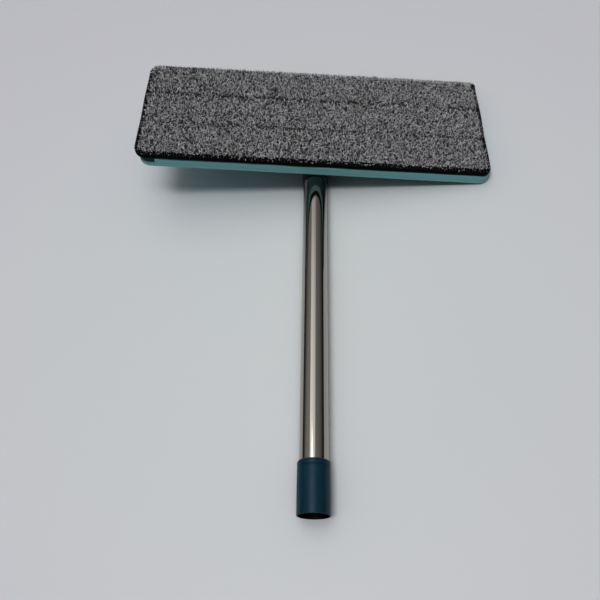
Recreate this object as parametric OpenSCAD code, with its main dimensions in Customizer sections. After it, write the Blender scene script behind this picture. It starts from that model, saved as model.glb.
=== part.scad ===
// Window cleaning squeegee: a flat head with a hook-and-loop microfibre pad on one side, a rubber
// blade along one long edge, and a steel handle that folds against the back of the head.
// X runs along the blade, Y along the handle towards the head, and Z out of the pad.
// The origin is the centre of the handle's open end.

/* [Head plate] */
// Length of the plate along the blade
plate_w = 325; // [300:1:345]
// Depth of the plate
plate_d = 117; // [112:1:124]
// Height of the rim
plate_h = 8.6; // [8.6:0.1:10]
// Radius of the plate's corners
plate_corner = 11; // [8:0.5:14]
// Height of the plate's pad face above the handle's axis
plate_rise = 27; // [26.5:0.1:30]

/* [Pad] */
// Length of the microfibre pad
pad_w = 324; // [300:1:330]
// Depth of the microfibre pad
pad_d = 117; // [112:1:122]
// Thickness of the pile above the foam
pile_h = 4.8; // [3:0.1:6]
// How far off centre the pad is stuck on
pad_shift = -4; // [-5:0.5:5]

/* [Handle] */
// Outer diameter of the steel tube
tube_od = 22; // [20:0.5:22]
// Wall of the steel tube
tube_wall = 0.6; // [0.5:0.1:0.8]
// Distance from the handle's open end to the hinge
handle_reach = 357; // [340:1:420]
// Outer diameter of the end sleeve
sleeve_od = 24.4; // [24.4:0.1:26]
// Length of the end sleeve
sleeve_len = 38; // [36:1:60]

/* [Blade] */
// Length of the rubber blade and its rail
blade_w = 300; // [260:5:300]
// How far the rubber stands out of the rail
blade_out = 4; // [3:0.5:6]

/* [Hidden] */

$fn = 96;
gap = 0.05;                     // running clearance between round parts
mint = [0.48, 0.72, 0.71];
teal = [0.06, 0.24, 0.32];
steel = [0.72, 0.70, 0.67];
black = [0.06, 0.06, 0.07];

// head plate
rim_t = 2.6;
flange_h = 2.6;                 // band round the rim's foot
flange_out = 0.4;               // how far the band stands proud
edge_soft = 1.4;                // radius of the rim's upper edge
web_t = 2.6;
seat_t = 3;                     // thickening of the web under the bracket
rib_t = 1.6;
rib_h = 4.6;
rib_pitch = 36;
rib_y = 36;
notch_x = 15;                   // finger notch at the near left corner
notch_y = 9;
notch_floor = 1.4;              // floor and walls of the pocket under the notch
notch_wall = 2;
plate_bottom = plate_rise - plate_h;
web_bottom = plate_rise - web_t;
seat_bottom = web_bottom - seat_t;

// hook strips
strip_w = 290;
strip_d = 22;
strip_t = 1.2;
strip_sink = 0.6;
strip_y = 30;

// pad
pad_bottom = plate_rise + strip_t - strip_sink + 0.1;
pad_corner = 9;
binding_t = 3.2;
binding_h = 6.5;
backing_t = 1;
foam_t = 2.8;
pile_bottom = pad_bottom + backing_t + foam_t;

// bracket and hinge
base_w = 60;
base_d = 46;
base_t = 3;
base_corner = 5;
base_bottom = seat_bottom - base_t;
screw_x = 23;
screw_y = 16;
screw_r = 1.5;
screw_head_r = 3;
screw_head_h = 1.8;
screw_len = 7.2;
lug_t = 5;
lug_r = 10.5;
lug_root = 15;                  // half the lug's depth at its root
knuckle_w = 17;
washer_t = 1;
lug_in = knuckle_w / 2 + washer_t;
lug_out = lug_in + lug_t;
bolt_r = 3;
bolt_head_r = 5.5;
bolt_head_h = 3;
bolt_end = 1.2;
nut_flats = 10;
nut_h = 4;

// neck and handle
tube_r = tube_od / 2;
tube_in = tube_r - tube_wall;
sleeve_r = sleeve_od / 2;
collar_bead = 0.3;
collar_r = sleeve_r - collar_bead;   // the bead is as wide as the sleeve, so the handle lies flat
collar_len = 26;
collar_depth = 24;              // how deep the tube sits in the collar
collar_lip = 2.4;               // bead round the collar's mouth
ring_cut = 0.4;                 // depth and half width of the collar's ring grooves
ring_places = [7, 10, 13];
collar_y = handle_reach - 53;   // near end of the collar
tube_top = collar_y + collar_depth;
knuckle_r = 10.5;
tongue_r = 9.5;
plug_len = 22;
plug_tip = 14;
plug_tip_r = 8;
rivet_r = 1.5;
rivet_y = tube_top - 11;
socket_depth = 12;
socket_r = tube_r + 0.4;
insert_len = 22;
thread_r = 8;

// blade and rail
rail_d = 10;
rail_h = 7;
rail_y = handle_reach + plate_d / 2;
rail_bottom = plate_bottom;
slot_z = rail_bottom + 3.1;
bead_r = 2;
bead_y = rail_y + 7.2;
lip_t = 1.7;
cap_t = 3;
rail_screw_r = 1.2;
rail_screw_head_r = 2.3;
rail_screw_x = [-130, -50, 50, 130];

module rounded_rect(w, d, r) {
  square([w - 2 * r, d], center = true);
  square([w, d - 2 * r], center = true);
  for (sx = [-1, 1], sy = [-1, 1])
    translate([sx * (w / 2 - r), sy * (d / 2 - r)]) circle(r);
}

// A slab with round corners over the hinge, from height z0, h thick
module slab(w, d, r, z0, h) {
  translate([0, handle_reach, z0]) linear_extrude(h) rounded_rect(w, d, r);
}

module pad_slab(inset, z0, h) {
  translate([pad_shift, 0, 0])
    slab(pad_w - 2 * inset, pad_d - 2 * inset, pad_corner - inset, z0, h);
}

// A cylinder along +Y from y0
module rod_y(r, y0, len) {
  translate([0, y0, 0]) rotate([-90, 0, 0]) cylinder(r = r, h = len);
}

// A cylinder along +X through the hinge's axis, from x0
module rod_x(r, x0, len) {
  translate([x0, handle_reach, 0]) rotate([0, 90, 0]) cylinder(r = r, h = len);
}

// Places its children at the bracket's four screws
module at_bracket_screws() {
  for (sx = [-1, 1], sy = [-1, 1])
    translate([sx * screw_x, handle_reach + sy * screw_y, 0]) children();
}

// Places its children at the rail's screws, at the plate's far edge
module at_rail_screws() {
  for (x = rail_screw_x) translate([x, rail_y, slot_z]) rotate([-90, 0, 0]) children();
}

// A slab whose top edge is rounded to radius c all round
module soft_slab(w, d, r, z0, h, c) {
  top = z0 + h;
  arc = [for (a = [0 : 22.5 : 90]) [c * (1 - cos(a)), top - c + c * sin(a)]];
  translate([0, handle_reach, 0]) {
    for (sx = [-1, 1], sy = [-1, 1])
      translate([sx * (w / 2 - r), sy * (d / 2 - r), 0]) rotate_extrude()
        polygon(concat([[0, z0], [r, z0]], [for (p = arc) [r - p[0], p[1]]], [[0, top]]));
    translate([-w / 2 + r, 0, 0]) rotate([90, 0, 90]) linear_extrude(w - 2 * r)
      soft_profile(d, z0, arc);
    translate([0, d / 2 - r, 0]) rotate([90, 0, 0]) linear_extrude(d - 2 * r)
      soft_profile(w, z0, arc);
  }
}

// The slab's cross-section: a rectangle whose two upper corners follow arc
module soft_profile(span, z0, arc) {
  steps = len(arc) - 1;
  polygon(concat([[-span / 2, z0], [span / 2, z0]], [for (p = arc) [span / 2 - p[0], p[1]]],
                 [for (i = [steps : -1 : 0]) [arc[i][0] - span / 2, arc[i][1]]]));
}

// ---- head ----

module plate_ribs() {
  inner_w = plate_w - 2 * rim_t;
  inner_d = plate_d - 2 * rim_t;
  for (sy = [-1, 1])
    translate([-inner_w / 2, handle_reach + sy * rib_y - rib_t / 2, web_bottom - rib_h])
      cube([inner_w, rib_t, rib_h + 0.5]);
  for (i = [-4 : 4])
    if (i != 0)
      translate([i * rib_pitch - rib_t / 2, handle_reach - inner_d / 2, web_bottom - rib_h])
        cube([rib_t, inner_d, rib_h + 0.5]);
}

// The pocket under the finger notch, which closes the tray there
module notch_pocket() {
  difference() {
    intersection() {
      slab(plate_w - rim_t, plate_d - rim_t, plate_corner - rim_t / 2, plate_bottom,
           plate_h - web_t + 0.5);
      translate([-plate_w / 2, handle_reach - plate_d / 2, plate_bottom])
        cube([notch_x + notch_wall, notch_y + notch_wall, plate_h]);
    }
    translate([-plate_w / 2 - 1, handle_reach - plate_d / 2 - 1, plate_bottom + notch_floor])
      cube([notch_x + 1, notch_y + 1, plate_h]);
  }
}

module head_plate() {
  color(mint) difference() {
    union() {
      notch_pocket();
      difference() {
        union() {
          soft_slab(plate_w - 2 * flange_out, plate_d - 2 * flange_out, plate_corner - flange_out,
                    plate_bottom, plate_h, edge_soft);
          slab(plate_w, plate_d, plate_corner, plate_bottom, flange_h);
        }
        slab(plate_w - 2 * rim_t, plate_d - 2 * rim_t, plate_corner - rim_t,
             plate_bottom - 1, plate_h - web_t + 1);
      }
      plate_ribs();
      slab(base_w + 6, base_d + 6, base_corner + 3, seat_bottom, seat_t + 0.5);
    }
    // the seat clears the ribs' lower halves, so that the bracket lies flat on it
    slab(base_w + 6, base_d + 6, base_corner + 3, plate_bottom - 1, seat_bottom - plate_bottom + 1);
    // recesses for the hook strips
    for (sy = [-1, 1])
      translate([0, sy * strip_y, 0])
        slab(strip_w + 0.4, strip_d + 0.4, 2, plate_rise - strip_sink, strip_sink + 1);
    // finger notch that frees the pad's corner
    translate([-plate_w / 2 - 1, handle_reach - plate_d / 2 - 1, plate_bottom + flange_h])
      cube([notch_x + 1, notch_y + 1, plate_h]);
    at_bracket_screws() translate([0, 0, seat_bottom - 1]) cylinder(r = screw_r + gap, h = 5.4);
    at_rail_screws() translate([0, 0, -rim_t - 1]) cylinder(r = rail_screw_r + gap, h = rim_t + 2);
  }
}

module hook_strip(side) {
  color(black) translate([0, side * strip_y, 0])
    slab(strip_w, strip_d, 1.8, plate_rise - strip_sink, strip_t);
}

// One lug in the YZ plane: a round eye under a root that widens to the base
module lug(side) {
  x0 = side > 0 ? lug_in : -lug_out;
  rod_x(lug_r, x0, lug_t);
  translate([x0, handle_reach, 0]) rotate([90, 0, 90]) linear_extrude(lug_t)
    polygon([[-lug_r, 0], [lug_r, 0], [lug_root, base_bottom + 0.5], [-lug_root, base_bottom + 0.5]]);
}

module pivot_bracket() {
  color(teal) difference() {
    union() {
      slab(base_w, base_d, base_corner, base_bottom, base_t);
      lug(-1);
      lug(1);
      // gussets outside the lugs
      for (sx = [-1, 1])
        translate([sx * (lug_out + 3.5), handle_reach, base_bottom - 3.4])
          cube([8, 3, 8], center = true);
    }
    rod_x(bolt_r + gap, -lug_out - 1, 2 * lug_out + 2);
    at_bracket_screws() translate([0, 0, base_bottom - 1]) cylinder(r = screw_r + gap, h = base_t + 2);
    // the base's top stays flat against its seat
    slab(base_w + 2, base_d + 2, base_corner, seat_bottom, 2);
  }
}

module bracket_screws() {
  color(steel) at_bracket_screws() difference() {
    union() {
      translate([0, 0, base_bottom - screw_head_h]) cylinder(r = screw_head_r, h = screw_head_h);
      translate([0, 0, base_bottom - 0.5]) cylinder(r = screw_r, h = screw_len + 0.5);
    }
    for (a = [0, 90])
      rotate([0, 0, a]) translate([0, 0, base_bottom - screw_head_h])
        cube([3.4, 0.7, 1.8], center = true);
  }
}

module hinge_bolt() {
  color(steel) difference() {
    union() {
      rod_x(bolt_head_r, lug_out, bolt_head_h);
      rod_x(bolt_r, -lug_out - nut_h - bolt_end, 2 * lug_out + nut_h + bolt_end + 0.5);
    }
    // hexagon socket in the head
    translate([lug_out + bolt_head_h - 1.6, handle_reach, 0]) rotate([0, 90, 0])
      cylinder(d = 4.6, h = 3, $fn = 6);
  }
}

module hinge_nut() {
  color(steel) difference() {
    translate([-lug_out - nut_h, handle_reach, 0]) rotate([0, 90, 0])
      cylinder(d = nut_flats / cos(30), h = nut_h, $fn = 6);
    rod_x(bolt_r + gap, -lug_out - nut_h - 1, nut_h + 2);
  }
}

module friction_washer(side) {
  x0 = side > 0 ? knuckle_w / 2 + 0.1 : -lug_in + 0.1;
  color([0.85, 0.84, 0.80]) difference() {
    rod_x(8, x0, washer_t - 0.2);
    rod_x(bolt_r + gap, x0 - 1, washer_t + 2);
  }
}

// ---- blade ----

module blade_rail() {
  color(teal) difference() {
    translate([-blade_w / 2, rail_y, rail_bottom]) cube([blade_w, rail_d, rail_h]);
    translate([-blade_w / 2 - 1, bead_y, slot_z]) rotate([0, 90, 0])
      cylinder(r = bead_r + gap, h = blade_w + 2, $fn = 48);
    translate([-blade_w / 2 - 1, bead_y, slot_z - lip_t / 2 - gap])
      cube([blade_w + 2, rail_d, lip_t + 2 * gap]);
    // sloped lower front edge
    translate([0, rail_y + rail_d, rail_bottom]) rotate([45, 0, 0])
      cube([blade_w + 2, 2.6, 2.6], center = true);
    at_rail_screws() translate([0, 0, -1]) cylinder(r = rail_screw_r + gap, h = 5.8, $fn = 32);
  }
}

module squeegee_blade() {
  lip_end = rail_y + rail_d + blade_out;
  color(black) {
    translate([-blade_w / 2, bead_y, slot_z]) rotate([0, 90, 0])
      cylinder(r = bead_r, h = blade_w, $fn = 48);
    translate([-blade_w / 2, bead_y, slot_z - lip_t / 2])
      cube([blade_w, lip_end - bead_y, lip_t]);
  }
}

module rail_end_cap(side) {
  color(teal) translate([side > 0 ? blade_w / 2 : -blade_w / 2 - cap_t, rail_y, rail_bottom])
    cube([cap_t, rail_d + 0.8, rail_h]);
}

module rail_screws() {
  color(steel) at_rail_screws() {
    translate([0, 0, -rim_t - 1.4]) cylinder(r = rail_screw_head_r, h = 1.4, $fn = 48);
    translate([0, 0, -rim_t - 0.5]) cylinder(r = rail_screw_r, h = rim_t + 4.9, $fn = 48);
  }
}

// ---- pad ----

module pad_backing() { color(black) pad_slab(binding_t, pad_bottom, backing_t); }
module pad_foam() { color([0.55, 0.56, 0.58]) pad_slab(binding_t, pad_bottom + backing_t, foam_t); }
module pad_pile() { color([0.42, 0.42, 0.43]) pad_slab(binding_t, pile_bottom, pile_h); }

module pad_binding() {
  color(black) difference() {
    pad_slab(0, pad_bottom, binding_h);
    pad_slab(binding_t, pad_bottom - 1, binding_h + 2);
  }
}

// ---- handle ----

module neck() {
  shoulder_y = collar_y + collar_len;
  color(teal) difference() {
    union() {
      rod_x(knuckle_r, -knuckle_w / 2, knuckle_w);
      // tongue from the knuckle to the collar
      intersection() {
        translate([-knuckle_w / 2, shoulder_y - 2, -knuckle_r])
          cube([knuckle_w, handle_reach - shoulder_y + 2, 2 * knuckle_r]);
        rod_y(collar_r, shoulder_y - 3, handle_reach - shoulder_y + 3);
      }
      rod_y(collar_r, collar_y, collar_len);
      // cone from the collar down to the tongue
      translate([0, shoulder_y, 0]) rotate([-90, 0, 0])
        cylinder(r1 = collar_r, r2 = tongue_r, h = 12);
      rod_y(collar_r + collar_bead, collar_y, collar_lip);
    }
    for (y = ring_places) translate([0, collar_y + y, 0]) rotate([-90, 0, 0]) rotate_extrude()
      translate([collar_r - ring_cut, -ring_cut]) square([2 * ring_cut, 2 * ring_cut]);
    rod_y(tube_r + gap, collar_y - 1, collar_depth + 1);
    rod_y(plug_tip_r + gap, collar_y + collar_depth - 1, plug_tip + 2);
    rod_x(bolt_r + gap, -knuckle_w, 2 * knuckle_w);
  }
}

module neck_plug() {
  color(black) difference() {
    union() {
      rod_y(tube_in - gap, tube_top - plug_len, plug_len);
      rod_y(plug_tip_r, tube_top - 0.5, plug_tip + 0.5);
    }
    rod_y(5, tube_top - plug_len - 1, plug_len + plug_tip + 2);
    translate([0, rivet_y, 0]) rotate([0, 90, 0])
      cylinder(r = rivet_r + gap, h = 3 * tube_r, center = true, $fn = 32);
  }
}

// Two short rivets that hold the plug in the tube, flush with its outside
module plug_rivets() {
  color(steel) for (side = [-1, 1])
    translate([side > 0 ? 6 : -tube_r + 0.15, rivet_y, 0]) rotate([0, 90, 0])
      cylinder(r = rivet_r, h = tube_r - 6.15, $fn = 32);
}

module tube() {
  color(steel) difference() {
    rod_y(tube_r, socket_depth, tube_top - socket_depth);
    rod_y(tube_in, socket_depth - 1, tube_top - socket_depth + 2);
    translate([0, rivet_y, 0]) rotate([0, 90, 0])
      cylinder(r = rivet_r + gap, h = 3 * tube_r, center = true, $fn = 32);
  }
}

module thread_insert() {
  color(black) difference() {
    rod_y(tube_in - gap, socket_depth, insert_len);
    rod_y(thread_r, socket_depth - 1, insert_len + 2);
  }
}

module end_sleeve() {
  color(teal) rotate([-90, 0, 0]) rotate_extrude()
    // a small round at the mouth and a ring groove below the far shoulder
    polygon([[socket_r, 0], [sleeve_r - 0.35, 0], [sleeve_r - 0.1, 0.12], [sleeve_r, 0.4],
             [sleeve_r, sleeve_len - 5], [sleeve_r - 0.4, sleeve_len - 4.6],
             [sleeve_r - 0.4, sleeve_len - 4], [sleeve_r, sleeve_len - 3.6],
             [sleeve_r, sleeve_len - 0.9], [sleeve_r - 0.7, sleeve_len], [tube_r + gap, sleeve_len],
             [tube_r + gap, socket_depth], [socket_r, socket_depth]]);
}

head_plate();
hook_strip(-1);  // hook_strip_near
hook_strip(1);  // hook_strip_far
pivot_bracket();
bracket_screws();
hinge_bolt();
hinge_nut();
friction_washer(-1);  // friction_washer_left
friction_washer(1);  // friction_washer_right
blade_rail();
squeegee_blade();
rail_end_cap(-1);  // rail_end_cap_left
rail_end_cap(1);  // rail_end_cap_right
rail_screws();
pad_backing();
pad_foam();
pad_pile();
pad_binding();
neck();
neck_plug();
plug_rivets();
tube();
thread_insert();
end_sleeve();
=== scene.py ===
# %% [markdown]
# # A window squeegee with a microfibre pad
# The tool is a flat plastic head on a folding steel handle. One face of the head carries a pad of
# twisted microfibre, stuck on with hook tape, and one long edge carries a rubber blade. The hard
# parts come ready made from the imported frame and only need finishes. The soft parts are made here:
# the foam core, the sewn binding, the pile, the stitches and the hooks of the tape.

# %% Load the fixed frame
from math import asin, atan2, cos, hypot, pi, radians, sin, tau

import bpy
from mathutils import Matrix, Vector, noise


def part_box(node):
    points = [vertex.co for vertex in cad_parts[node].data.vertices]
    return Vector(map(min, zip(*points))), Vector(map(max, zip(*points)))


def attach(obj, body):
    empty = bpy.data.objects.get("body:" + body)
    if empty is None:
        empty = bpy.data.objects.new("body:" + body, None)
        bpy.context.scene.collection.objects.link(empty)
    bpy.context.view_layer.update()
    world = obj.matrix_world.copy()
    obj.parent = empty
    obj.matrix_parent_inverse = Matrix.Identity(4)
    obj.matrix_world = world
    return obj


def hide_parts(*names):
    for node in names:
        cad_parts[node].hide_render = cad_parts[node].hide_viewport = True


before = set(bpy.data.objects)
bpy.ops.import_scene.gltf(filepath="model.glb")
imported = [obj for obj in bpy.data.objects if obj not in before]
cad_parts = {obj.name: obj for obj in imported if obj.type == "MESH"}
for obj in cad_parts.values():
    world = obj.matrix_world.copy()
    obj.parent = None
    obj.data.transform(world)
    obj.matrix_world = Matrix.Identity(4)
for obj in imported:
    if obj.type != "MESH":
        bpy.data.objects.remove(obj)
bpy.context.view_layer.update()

MM = 0.001

# %% [markdown]
# ## The camera
# A camera is an eye point and three angles. It could be aimed with a Track To constraint, but a
# roll is easier to read when the three axes are written out: ahead, right and up. The eye is above
# the handle's open end and looks down along it, a little turned and rolled, as a hand-held phone is.
# A phone also deepens the dark tones, which a gamma below 1 does here.

# %% Aim the camera
def aimed_camera(name, eye, down, turn, roll, lens):
    ahead = Vector((sin(turn) * cos(down), cos(turn) * cos(down), -sin(down)))
    level = Vector((cos(turn), -sin(turn), 0))
    upright = level.cross(ahead)
    right = level * cos(roll) + upright * sin(roll)
    up = upright * cos(roll) - level * sin(roll)
    data = bpy.data.cameras.new(name)
    data.lens = lens
    camera = bpy.data.objects.new(name, data)
    camera.matrix_world = Matrix.Translation(eye) @ Matrix((right, up, -ahead)).transposed().to_4x4()
    bpy.context.collection.objects.link(camera)
    return camera


EYE = Vector((-35, -85, 438)) * MM
camera = aimed_camera("phone_camera", EYE, radians(59.27), radians(5.0), radians(6.89), 36.27)
bpy.context.scene.camera = camera
view = bpy.context.scene.view_settings
view.view_transform = "Standard"
view.gamma = 0.7
print("camera at", [round(x, 3) for x in EYE])

# %% [markdown]
# ## The table
# The handle is round, so the tool rolls until one corner of the head meets the table. Three things
# touch: the end sleeve, the collar of the neck and that corner. The table is therefore a plane that
# is tangent to the sleeve and passes through the corner, and its tilt follows from those two sizes.

# %% Lay the table under the tool
sleeve_low, sleeve_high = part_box("end_sleeve")
plate_low, plate_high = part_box("head_plate")
SLEEVE_R = (sleeve_high.z - sleeve_low.z) / 2
TABLE_TILT = asin(SLEEVE_R / hypot(plate_high.x, plate_low.z)) + atan2(plate_low.z, plate_high.x)
TABLE_TURN = Matrix.Rotation(-TABLE_TILT, 4, "Y")
TABLE_RADIUS, TABLE_AHEAD = 2.4, 0.2


def on_table(x, y, height):
    """A point given along the table, and its height above it, in the tool's frame."""
    return TABLE_TURN @ Vector((x, y, height - SLEEVE_R))


def mesh_object(name, verts, faces, materials=(), edges=()):
    data = bpy.data.meshes.new(name)
    data.from_pydata([tuple(v) for v in verts], edges, faces)
    data.update()
    for material in materials:
        data.materials.append(material)
    obj = bpy.data.objects.new(name, data)
    bpy.context.collection.objects.link(obj)
    return obj


RIM_STEPS = 96
rim = [on_table(TABLE_RADIUS * cos(tau * i / RIM_STEPS),
                TABLE_AHEAD + TABLE_RADIUS * sin(tau * i / RIM_STEPS), 0) for i in range(RIM_STEPS)]
table = mesh_object("table", rim, [tuple(range(RIM_STEPS))])
print("table tilted by", round(TABLE_TILT * 180 / pi, 2), "degrees")

# %% [markdown]
# ## Tools for materials
# Every finish is a node tree with one Principled shader. These helpers add a node, link or set a
# socket, and start a material, so that each recipe below reads as a short list.

# %% Node helpers
def add(tree, kind, x=0, y=0, **settings):
    node = tree.nodes.new(kind)
    node.location = (x, y)
    for key, value in settings.items():
        setattr(node, key, value)
    return node


def feed(tree, value, socket):
    """Link another node's output to a socket, or set the socket to a plain value."""
    if isinstance(value, bpy.types.NodeSocket):
        tree.links.new(value, socket)
    else:
        socket.default_value = value


def calc(tree, operation, *values):
    """A Math node, fed with other nodes' outputs or plain numbers."""
    node = add(tree, "ShaderNodeMath", operation=operation)
    for value, socket in zip(values, node.inputs):
        feed(tree, value, socket)
    return node.outputs[0]


def new_material(name, colour, roughness, metallic=0.0, **constants):
    """A material with its constants on the Principled shader's own sockets."""
    material = bpy.data.materials.new(name)
    material.use_nodes = True
    tree = material.node_tree
    shader = tree.nodes["Principled BSDF"]
    shader.inputs["Base Color"].default_value = (*colour, 1)
    shader.inputs["Roughness"].default_value = roughness
    shader.inputs["Metallic"].default_value = metallic
    for key, value in constants.items():
        shader.inputs[key.replace("_", " ")].default_value = value
    material.diffuse_color = (*colour, 1)
    return material, tree, shader


def object_coords(tree, scale=(1, 1, 1)):
    coords = add(tree, "ShaderNodeTexCoord", -1400)
    mapping = add(tree, "ShaderNodeMapping", -1200)
    mapping.inputs["Scale"].default_value = scale
    tree.links.new(coords.outputs["Object"], mapping.inputs["Vector"])
    return mapping.outputs["Vector"]


def mix_colours(tree, mask, colour_a, colour_b):
    mix = add(tree, "ShaderNodeMix", -400, data_type="RGBA")
    tree.links.new(mask, mix.inputs["Factor"])
    for socket, value in ((mix.inputs["A"], colour_a), (mix.inputs["B"], colour_b)):
        if isinstance(value, bpy.types.NodeSocket):
            tree.links.new(value, socket)
        else:
            socket.default_value = (*value, 1)
    return mix.outputs["Result"]


def remap(tree, value, low, high, out_low, out_high):
    node = add(tree, "ShaderNodeMapRange", -600)
    tree.links.new(value, node.inputs["Value"])
    for key, limit in (("From Min", low), ("From Max", high), ("To Min", out_low), ("To Max", out_high)):
        feed(tree, limit, node.inputs[key])
    return node.outputs["Result"]


def bump(tree, shader, height, distance):
    node = add(tree, "ShaderNodeBump", -200, -300)
    node.inputs["Strength"].default_value = 1.0
    node.inputs["Distance"].default_value = distance
    tree.links.new(height, node.inputs["Height"])
    tree.links.new(node.outputs["Normal"], shader.inputs["Normal"])


# %% [markdown]
# ## Effects that several finishes share
# Three effects turn up again and again: the fine grain of a moulded surface, the smears that hands
# leave, and the crossed threads of tape. Each is a node group with named inputs, built once. A group
# only puts out masks and heights that vary over the surface, and each material decides what they do.

# %% A node group maker
def node_group(name, inputs, outputs):
    group = bpy.data.node_groups.new(name, "ShaderNodeTree")
    group.interface.new_socket("Vector", in_out="INPUT", socket_type="NodeSocketVector")
    for socket, value in inputs.items():
        made = group.interface.new_socket(socket, in_out="INPUT", socket_type="NodeSocketFloat")
        made.default_value = value
    for socket in outputs:
        group.interface.new_socket(socket, in_out="OUTPUT", socket_type="NodeSocketFloat")
    return group, add(group, "NodeGroupInput", -900), add(group, "NodeGroupOutput", 600)


def use_group(tree, group, vector, **values):
    node = add(tree, "ShaderNodeGroup", -900, node_tree=group)
    tree.links.new(vector, node.inputs["Vector"])
    for key, value in values.items():
        node.inputs[key].default_value = value
    return node


def noise_in(group, vector, scale, detail=3.0, roughness=0.5):
    node = add(group, "ShaderNodeTexNoise", -600)
    group.links.new(vector, node.inputs["Vector"])
    feed(group, scale, node.inputs["Scale"])
    node.inputs["Detail"].default_value = detail
    node.inputs["Roughness"].default_value = roughness
    return node.outputs["Fac"]


# %% Moulded grain
def make_moulded_grain():
    group, given, out = node_group("moulded_grain", {"Scale": 2500.0, "Flow": 60.0}, ["Grain", "Cloud"])
    grain = noise_in(group, given.outputs["Vector"], given.outputs["Scale"], 4.0, 0.6)
    cloud = noise_in(group, given.outputs["Vector"], given.outputs["Flow"], 3.0, 0.55)
    group.links.new(grain, out.inputs["Grain"])
    group.links.new(cloud, out.inputs["Cloud"])
    return group


moulded_grain = make_moulded_grain()


# %% Handling smears
def make_smears():
    group, given, out = node_group("handling_smears", {"Scale": 22.0, "Amount": 0.5}, ["Smear"])
    warp = noise_in(group, given.outputs["Vector"], 14.0, 2.0)
    push = add(group, "ShaderNodeVectorMath", -400, operation="MULTIPLY_ADD")
    push.inputs[1].default_value = (0.03, 0.03, 0.03)
    group.links.new(warp, push.inputs[0])
    group.links.new(given.outputs["Vector"], push.inputs[2])
    blot = noise_in(group, push.outputs["Vector"], given.outputs["Scale"], 5.0, 0.62)
    edge = add(group, "ShaderNodeMapRange", 0, interpolation_type="SMOOTHSTEP")
    edge.inputs["From Min"].default_value = 0.45
    edge.inputs["From Max"].default_value = 0.72
    group.links.new(blot, edge.inputs["Value"])
    smear = calc(group, "MULTIPLY", edge.outputs["Result"], given.outputs["Amount"])
    group.links.new(smear, out.inputs["Smear"])
    return group


handling_smears = make_smears()


# %% Crossed threads
def make_weave():
    """Warp and weft as two sets of ridges whose heights take turns, as in a plain weave."""
    group, given, out = node_group("crossed_threads", {"Threads": 1400.0}, ["Height", "Fuzz"])
    scaled = add(group, "ShaderNodeVectorMath", -700, operation="SCALE")
    group.links.new(given.outputs["Vector"], scaled.inputs[0])
    group.links.new(given.outputs["Threads"], scaled.inputs["Scale"])
    split = add(group, "ShaderNodeSeparateXYZ", -500)
    group.links.new(scaled.outputs["Vector"], split.inputs[0])
    waves = [calc(group, "SINE", calc(group, "MULTIPLY", split.outputs[axis], tau)) for axis in "XYZ"]
    crossed = calc(group, "MULTIPLY", waves[0], calc(group, "ADD", waves[1], waves[2]))
    group.links.new(crossed, out.inputs["Height"])
    group.links.new(noise_in(group, given.outputs["Vector"], 1800.0, 3.0, 0.7), out.inputs["Fuzz"])
    return group


crossed_threads = make_weave()
print("shared effects", [g.name for g in bpy.data.node_groups])

# %% [markdown]
# ## Moulded plastics
# The head is mint ABS with a satin face, and the neck, bracket, rail and end sleeve are a dark teal
# plastic with a fine spark-eroded grain. Both could be one flat colour. Real mouldings also show a
# faint flow cloud in the colour, a grain that breaks up the highlight, and duller patches where
# hands have held them, so the shared groups feed the colour, the roughness and the bump. The end
# sleeve's open bore is painted near-black, a painted shade for the dark inside of the bore. It is one
# solid with the sleeve, so a mask on the distance from the sleeve's axis darkens it, and the finish
# is given the radius where the bore ends.

# %% Moulded plastic finish
BORE_PAINTED_SHADE = (0.001, 0.001, 0.0012)
SLEEVE_BORE_R = 11.6 * MM
BORE_EDGE = 0.1 * MM            # the painted shade fades out over this width


def moulded_plastic(name, colour, pale, roughness, grain_depth, grain_scale, smear, bore=None):
    material, tree, shader = new_material(name, colour, roughness, IOR=1.5)
    coords = object_coords(tree)
    grain = use_group(tree, moulded_grain, coords, Scale=grain_scale, Flow=45.0)
    marks = use_group(tree, handling_smears, coords, Scale=26.0, Amount=smear)
    cloud = remap(tree, grain.outputs["Cloud"], 0.3, 0.7, 0.0, 1.0)
    shade = mix_colours(tree, cloud, colour, pale)
    # Painted shade: inside the bore radius the colour is mixed to near-black, for the shade in the bore.
    if bore:
        radius = add(tree, "ShaderNodeVectorMath", -800, operation="LENGTH")
        tree.links.new(object_coords(tree, (1, 0, 1)), radius.inputs[0])
        inside = remap(tree, radius.outputs["Value"], bore, bore + BORE_EDGE, 1.0, 0.0)
        shade = mix_colours(tree, inside, shade, BORE_PAINTED_SHADE)
    tree.links.new(shade, shader.inputs["Base Color"])
    clean = remap(tree, grain.outputs["Grain"], 0.3, 0.7, roughness - 0.05, roughness + 0.05)
    worn = calc(tree, "MULTIPLY_ADD", marks.outputs["Smear"], 0.25, clean)
    tree.links.new(worn, shader.inputs["Roughness"])
    bump(tree, shader, grain.outputs["Grain"], grain_depth)
    return material


mint = moulded_plastic("mint_plastic", (0.25, 0.49, 0.51), (0.26, 0.505, 0.525), 0.34, 0.00003, 2600.0, 0.3)
teal = moulded_plastic("teal_plastic", (0.005, 0.050, 0.083), (0.007, 0.058, 0.094), 0.31, 0.00004,
                       2200.0, 0.5)
sleeve_teal = moulded_plastic("sleeve_plastic", (0.004, 0.054, 0.090), (0.005, 0.062, 0.102), 0.29, 0.00004,
                              2200.0, 0.5, bore=SLEEVE_BORE_R)
black_plastic = moulded_plastic("black_plastic", (0.012, 0.012, 0.013), (0.017, 0.017, 0.018), 0.45,
                                0.00005, 2200.0, 0.4)
nylon = moulded_plastic("nylon", (0.68, 0.66, 0.60), (0.72, 0.70, 0.64), 0.42, 0.00003, 2000.0, 0.3)

# %% [markdown]
# ## Steel
# The tube is thin stainless, drawn through a die and then polished, so its marks run along its
# length. Noise that is stretched along the tube makes those marks. They vary the roughness and the
# colour a little and lift the surface by a few micrometres. Smears of handling are broad
# and only touch the roughness. The screws and the bolt are zinc-plated and duller.

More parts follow.
